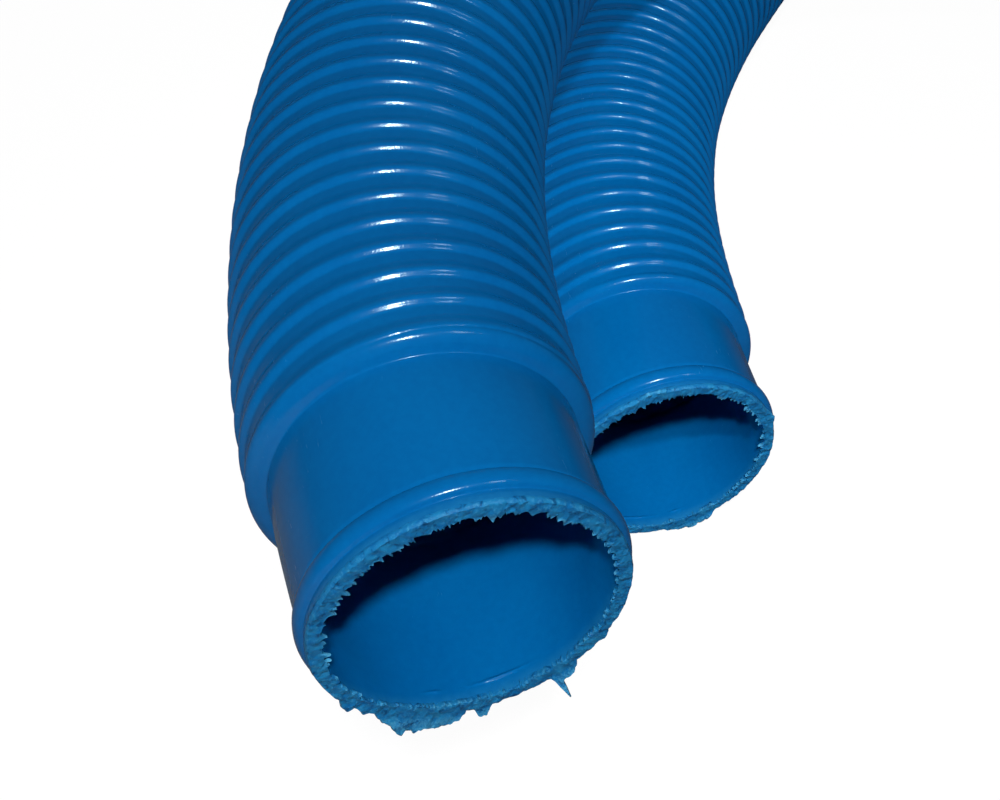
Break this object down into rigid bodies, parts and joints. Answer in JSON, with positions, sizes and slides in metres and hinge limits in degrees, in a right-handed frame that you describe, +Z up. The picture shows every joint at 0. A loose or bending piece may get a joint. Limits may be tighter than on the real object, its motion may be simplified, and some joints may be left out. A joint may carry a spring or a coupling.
{
  "type": "vacuum hose",
  "caption": "Flexible ribbed vacuum hose section for pools and spas, laid in an open loop, with a smooth beaded cuff at each end",
  "frame": {"origin": "centre of the footprint, at the lowest point", "axes": "+Z up; +Y runs from the near mouth into the hose; +X to the right, towards the loop"},
  "size_m": [0.587, 0.4576, 0.1199],
  "materials": {
    "hose_wall": "glossy blue moulded plastic",
    "cuff": "glossy blue moulded plastic, smooth sleeve"
  },
  "bodies": {
    "near_cuff": {"near_cuff": "cuff"},
    "near_leg_link_01": {"near_leg_link_01": "hose_wall"},
    "near_leg_link_02": {"near_leg_link_02": "hose_wall"},
    "near_leg_link_03": {"near_leg_link_03": "hose_wall"},
    "near_leg_link_04": {"near_leg_link_04": "hose_wall"},
    "near_leg_link_05": {"near_leg_link_05": "hose_wall"},
    "near_leg_link_06": {"near_leg_link_06": "hose_wall"},
    "near_leg_link_07": {"near_leg_link_07": "hose_wall"},
    "near_leg_link_08": {"near_leg_link_08": "hose_wall"},
    "loop_link_01": {"loop_link_01": "hose_wall"},
    "loop_link_02": {"loop_link_02": "hose_wall"},
    "loop_link_03": {"loop_link_03": "hose_wall"},
    "loop_link_04": {"loop_link_04": "hose_wall"},
    "loop_link_05": {"loop_link_05": "hose_wall"},
    "loop_link_06": {"loop_link_06": "hose_wall"},
    "loop_link_07": {"loop_link_07": "hose_wall"},
    "loop_link_08": {"loop_link_08": "hose_wall"},
    "loop_link_09": {"loop_link_09": "hose_wall"},
    "loop_link_10": {"loop_link_10": "hose_wall"},
    "loop_link_11": {"loop_link_11": "hose_wall"},
    "loop_link_12": {"loop_link_12": "hose_wall"},
    "loop_link_13": {"loop_link_13": "hose_wall"},
    "loop_link_14": {"loop_link_14": "hose_wall"},
    "loop_link_15": {"loop_link_15": "hose_wall"},
    "loop_link_16": {"loop_link_16": "hose_wall"},
    "loop_link_17": {"loop_link_17": "hose_wall"},
    "far_leg_link_01": {"far_leg_link_01": "hose_wall"},
    "far_leg_link_02": {"far_leg_link_02": "hose_wall"},
    "far_leg_link_03": {"far_leg_link_03": "hose_wall"},
    "far_leg_link_04": {"far_leg_link_04": "hose_wall"},
    "far_leg_link_05": {"far_leg_link_05": "hose_wall"},
    "far_leg_link_06": {"far_leg_link_06": "hose_wall"},
    "far_leg_link_07": {"far_leg_link_07": "hose_wall"},
    "far_cuff": {"far_cuff": "cuff"}
  },
  "joints": [
    {"name": "near_leg_sweep", "type": "hinge", "parent": "near_leg_link_07", "child": "near_leg_link_06", "pos_m": [-0.11088, -0.00696, 0.08045], "axis": [0.1995, 0.0206, 0.9797], "range_deg": [-8, 8], "stiffness_Nm_per_rad": 3},
    {"name": "near_leg_sweep_at_near_leg_link_04", "type": "hinge", "parent": "near_leg_link_05", "child": "near_leg_link_04", "pos_m": [-0.19184, -0.04036, 0.09492], "axis": [0.0639, 0.05, 0.9967], "range_deg": [-8.5, 8.5], "stiffness_Nm_per_rad": 0.15},
    {"name": "near_leg_sweep_at_near_leg_link_02", "type": "hinge", "parent": "near_leg_link_03", "child": "near_leg_link_02", "pos_m": [-0.24693, -0.11039, 0.09379], "axis": [-0.0262, -0.0549, 0.9981], "range_deg": [-8.5, 8.5], "stiffness_Nm_per_rad": 0.15},
    {"name": "near_leg_sweep_at_near_cuff", "type": "hinge", "parent": "near_leg_link_01", "child": "near_cuff", "pos_m": [-0.26942, -0.1969, 0.08949], "axis": [-0.0037, -0.0499, 0.9987], "range_deg": [-8.5, 8.5], "stiffness_Nm_per_rad": 0.15},
    {"name": "near_leg_lift", "type": "hinge", "parent": "near_leg_link_08", "child": "near_leg_link_07", "pos_m": [-0.06691, -0.00794, 0.07142], "axis": [0.132, 0.9912, 0], "range_deg": [-2, 7], "stiffness_Nm_per_rad": 10},
    {"name": "near_leg_lift_at_near_leg_link_05", "type": "hinge", "parent": "near_leg_link_06", "child": "near_leg_link_05", "pos_m": [-0.15349, -0.01781, 0.08925], "axis": [-0.3841, 0.9233, 0], "range_deg": [-2.5, 7.5], "stiffness_Nm_per_rad": 0.2},
    {"name": "near_leg_lift_at_near_leg_link_03", "type": "hinge", "parent": "near_leg_link_04", "child": "near_leg_link_03", "pos_m": [-0.22344, -0.07218, 0.09619], "axis": [-0.7888, 0.6146, 0], "range_deg": [-2.5, 7.5], "stiffness_Nm_per_rad": 0.2},
    {"name": "near_leg_lift_at_near_leg_link_01", "type": "hinge", "parent": "near_leg_link_02", "child": "near_leg_link_01", "pos_m": [-0.26217, -0.15259, 0.09144], "axis": [-0.9685, 0.2491, 0], "range_deg": [-2.5, 7.5], "stiffness_Nm_per_rad": 0.2},
    {"name": "loop_spread", "type": "hinge", "parent": "loop_link_09", "child": "loop_link_08", "pos_m": [0.26859, 0.05704, 0.02421], "axis": [0, 0, 1], "range_deg": [-1, 3], "stiffness_Nm_per_rad": 12},
    {"name": "loop_spread_at_loop_link_07", "type": "hinge", "parent": "loop_link_08", "child": "loop_link_07", "pos_m": [0.25538, 0.01426, 0.02421], "axis": [0, 0, 1], "range_deg": [-1.5, 3.5], "stiffness_Nm_per_rad": 0.4},
    {"name": "loop_spread_at_loop_link_06", "type": "hinge", "parent": "loop_link_07", "child": "loop_link_06", "pos_m": [0.22843, -0.02149, 0.02462], "axis": [0.0201, 0.0188, 0.9996], "range_deg": [-1.5, 3.5], "stiffness_Nm_per_rad": 0.4},
    {"name": "loop_spread_at_loop_link_05", "type": "hinge", "parent": "loop_link_06", "child": "loop_link_05", "pos_m": [0.19099, -0.04594, 0.02679], "axis": [0.0632, 0.0271, 0.9976], "range_deg": [-1.5, 3.5], "stiffness_Nm_per_rad": 0.4},
    {"name": "loop_spread_at_loop_link_04", "type": "hinge", "parent": "loop_link_05", "child": "loop_link_04", "pos_m": [0.14762, -0.05644, 0.03081], "axis": [0.1096, 0.0089, 0.9939], "range_deg": [-1.5, 3.5], "stiffness_Nm_per_rad": 0.4},
    {"name": "loop_spread_at_loop_link_03", "type": "hinge", "parent": "loop_link_04", "child": "loop_link_03", "pos_m": [0.10315, -0.0545, 0.03668], "axis": [0.1491, -0.0229, 0.9886], "range_deg": [-1.5, 3.5], "stiffness_Nm_per_rad": 0.4},
    {"name": "loop_spread_at_loop_link_02", "type": "hinge", "parent": "loop_link_03", "child": "loop_link_02", "pos_m": [0.06001, -0.04445, 0.04439], "axis": [0.1836, -0.0546, 0.9815], "range_deg": [-1.5, 3.5], "stiffness_Nm_per_rad": 0.4},
    {"name": "loop_spread_at_loop_link_01", "type": "hinge", "parent": "loop_link_02", "child": "loop_link_01", "pos_m": [0.01812, -0.03069, 0.05337], "axis": [0.1898, -0.0649, 0.9797], "range_deg": [-1.5, 3.5], "stiffness_Nm_per_rad": 0.4},
    {"name": "loop_spread_at_near_leg_link_08", "type": "hinge", "parent": "loop_link_01", "child": "near_leg_link_08", "pos_m": [-0.02385, -0.01721, 0.06239], "axis": [0.1929, -0.0548, 0.9797], "range_deg": [-1.5, 3.5], "stiffness_Nm_per_rad": 0.4},
    {"name": "loop_spread_at_loop_link_10", "type": "hinge", "parent": "loop_link_09", "child": "loop_link_10", "pos_m": [0.26649, 0.10177, 0.02421], "axis": [0, 0, 1], "range_deg": [-3.5, 1.5], "stiffness_Nm_per_rad": 0.4},
    {"name": "loop_spread_at_loop_link_11", "type": "hinge", "parent": "loop_link_10", "child": "loop_link_11", "pos_m": [0.24934, 0.14313, 0.02421], "axis": [0, 0, 1], "range_deg": [-3.5, 1.5], "stiffness_Nm_per_rad": 0.4},
    {"name": "loop_spread_at_loop_link_12", "type": "hinge", "parent": "loop_link_11", "child": "loop_link_12", "pos_m": [0.21916, 0.17621, 0.02421], "axis": [0, 0, 1], "range_deg": [-3.5, 1.5], "stiffness_Nm_per_rad": 0.4},
    {"name": "loop_spread_at_loop_link_13", "type": "hinge", "parent": "loop_link_12", "child": "loop_link_13", "pos_m": [0.17959, 0.19718, 0.02421], "axis": [0, 0, 1], "range_deg": [-3.5, 1.5], "stiffness_Nm_per_rad": 0.4},
    {"name": "loop_spread_at_loop_link_14", "type": "hinge", "parent": "loop_link_13", "child": "loop_link_14", "pos_m": [0.1354, 0.20477, 0.02421], "axis": [0, 0, 1], "range_deg": [-3.5, 1.5], "stiffness_Nm_per_rad": 0.4},
    {"name": "loop_spread_at_loop_link_15", "type": "hinge", "parent": "loop_link_14", "child": "loop_link_15", "pos_m": [0.09077, 0.20007, 0.02421], "axis": [0, 0, 1], "range_deg": [-3.5, 1.5], "stiffness_Nm_per_rad": 0.4},
    {"name": "loop_spread_at_loop_link_16", "type": "hinge", "parent": "loop_link_15", "child": "loop_link_16", "pos_m": [0.04838, 0.18521, 0.02421], "axis": [0, 0, 1], "range_deg": [-3.5, 1.5], "stiffness_Nm_per_rad": 0.4},
    {"name": "loop_spread_at_loop_link_17", "type": "hinge", "parent": "loop_link_16", "child": "loop_link_17", "pos_m": [0.00941, 0.16281, 0.02421], "axis": [0, 0, 1], "range_deg": [-3.5, 1.5], "stiffness_Nm_per_rad": 0.4},
    {"name": "loop_spread_at_far_leg_link_01", "type": "hinge", "parent": "loop_link_17", "child": "far_leg_link_01", "pos_m": [-0.02639, 0.13556, 0.02421], "axis": [0, 0, 1], "range_deg": [-3.5, 1.5], "stiffness_Nm_per_rad": 0.4},
    {"name": "far_leg_sweep", "type": "hinge", "parent": "far_leg_link_01", "child": "far_leg_link_02", "pos_m": [-0.06011, 0.10578, 0.02421], "axis": [0, 0, 1], "range_deg": [-7, 7], "stiffness_Nm_per_rad": 3},
    {"name": "far_leg_sweep_at_far_leg_link_04", "type": "hinge", "parent": "far_leg_link_03", "child": "far_leg_link_04", "pos_m": [-0.12439, 0.04282, 0.02421], "axis": [0, 0, 1], "range_deg": [-7.5, 7.5], "stiffness_Nm_per_rad": 0.15},
    {"name": "far_leg_sweep_at_far_leg_link_06", "type": "hinge", "parent": "far_leg_link_05", "child": "far_leg_link_06", "pos_m": [-0.1782, -0.02904, 0.02421], "axis": [0, 0, 1], "range_deg": [-7.5, 7.5], "stiffness_Nm_per_rad": 0.15},
    {"name": "far_leg_sweep_at_far_cuff", "type": "hinge", "parent": "far_leg_link_07", "child": "far_cuff", "pos_m": [-0.20622, -0.11406, 0.0236], "axis": [-0.006, -0.0403, 0.9992], "range_deg": [-7.5, 7.5], "stiffness_Nm_per_rad": 0.15},
    {"name": "far_leg_lift", "type": "hinge", "parent": "far_leg_link_02", "child": "far_leg_link_03", "pos_m": [-0.09292, 0.07498, 0.02421], "axis": [-0.6966, 0.7174, 0], "range_deg": [0, 4], "stiffness_Nm_per_rad": 4},
    {"name": "far_leg_lift_at_far_leg_link_05", "type": "hinge", "parent": "far_leg_link_04", "child": "far_leg_link_05", "pos_m": [-0.15348, 0.00851, 0.02421], "axis": [-0.7944, 0.6073, 0], "range_deg": [-0.5, 4.5], "stiffness_Nm_per_rad": 0.2},
    {"name": "far_leg_lift_at_far_leg_link_07", "type": "hinge", "parent": "far_leg_link_06", "child": "far_leg_link_07", "pos_m": [-0.19599, -0.0703, 0.02421], "axis": [-0.9509, 0.3096, 0], "range_deg": [-0.5, 4.5], "stiffness_Nm_per_rad": 0.2}
  ],
  "couplings": [
    {"joint": "near_leg_sweep_at_near_leg_link_04", "follows": "near_leg_sweep", "ratio": 1},
    {"joint": "near_leg_sweep_at_near_leg_link_02", "follows": "near_leg_sweep", "ratio": 1},
    {"joint": "near_leg_sweep_at_near_cuff", "follows": "near_leg_sweep", "ratio": 1},
    {"joint": "near_leg_lift_at_near_leg_link_05", "follows": "near_leg_lift", "ratio": 1},
    {"joint": "near_leg_lift_at_near_leg_link_03", "follows": "near_leg_lift", "ratio": 1},
    {"joint": "near_leg_lift_at_near_leg_link_01", "follows": "near_leg_lift", "ratio": 1},
    {"joint": "loop_spread_at_loop_link_07", "follows": "loop_spread", "ratio": 1},
    {"joint": "loop_spread_at_loop_link_06", "follows": "loop_spread", "ratio": 1},
    {"joint": "loop_spread_at_loop_link_05", "follows": "loop_spread", "ratio": 1},
    {"joint": "loop_spread_at_loop_link_04", "follows": "loop_spread", "ratio": 1},
    {"joint": "loop_spread_at_loop_link_03", "follows": "loop_spread", "ratio": 1},
    {"joint": "loop_spread_at_loop_link_02", "follows": "loop_spread", "ratio": 1},
    {"joint": "loop_spread_at_loop_link_01", "follows": "loop_spread", "ratio": 1},
    {"joint": "loop_spread_at_near_leg_link_08", "follows": "loop_spread", "ratio": 1},
    {"joint": "loop_spread_at_loop_link_10", "follows": "loop_spread", "ratio": -1},
    {"joint": "loop_spread_at_loop_link_11", "follows": "loop_spread", "ratio": -1},
    {"joint": "loop_spread_at_loop_link_12", "follows": "loop_spread", "ratio": -1},
    {"joint": "loop_spread_at_loop_link_13", "follows": "loop_spread", "ratio": -1},
    {"joint": "loop_spread_at_loop_link_14", "follows": "loop_spread", "ratio": -1},
    {"joint": "loop_spread_at_loop_link_15", "follows": "loop_spread", "ratio": -1},
    {"joint": "loop_spread_at_loop_link_16", "follows": "loop_spread", "ratio": -1},
    {"joint": "loop_spread_at_loop_link_17", "follows": "loop_spread", "ratio": -1},
    {"joint": "loop_spread_at_far_leg_link_01", "follows": "loop_spread", "ratio": -1},
    {"joint": "far_leg_sweep_at_far_leg_link_04", "follows": "far_leg_sweep", "ratio": 1},
    {"joint": "far_leg_sweep_at_far_leg_link_06", "follows": "far_leg_sweep", "ratio": 1},
    {"joint": "far_leg_sweep_at_far_cuff", "follows": "far_leg_sweep", "ratio": 1},
    {"joint": "far_leg_lift_at_far_leg_link_05", "follows": "far_leg_lift", "ratio": 1},
    {"joint": "far_leg_lift_at_far_leg_link_07", "follows": "far_leg_lift", "ratio": 1}
  ]
}
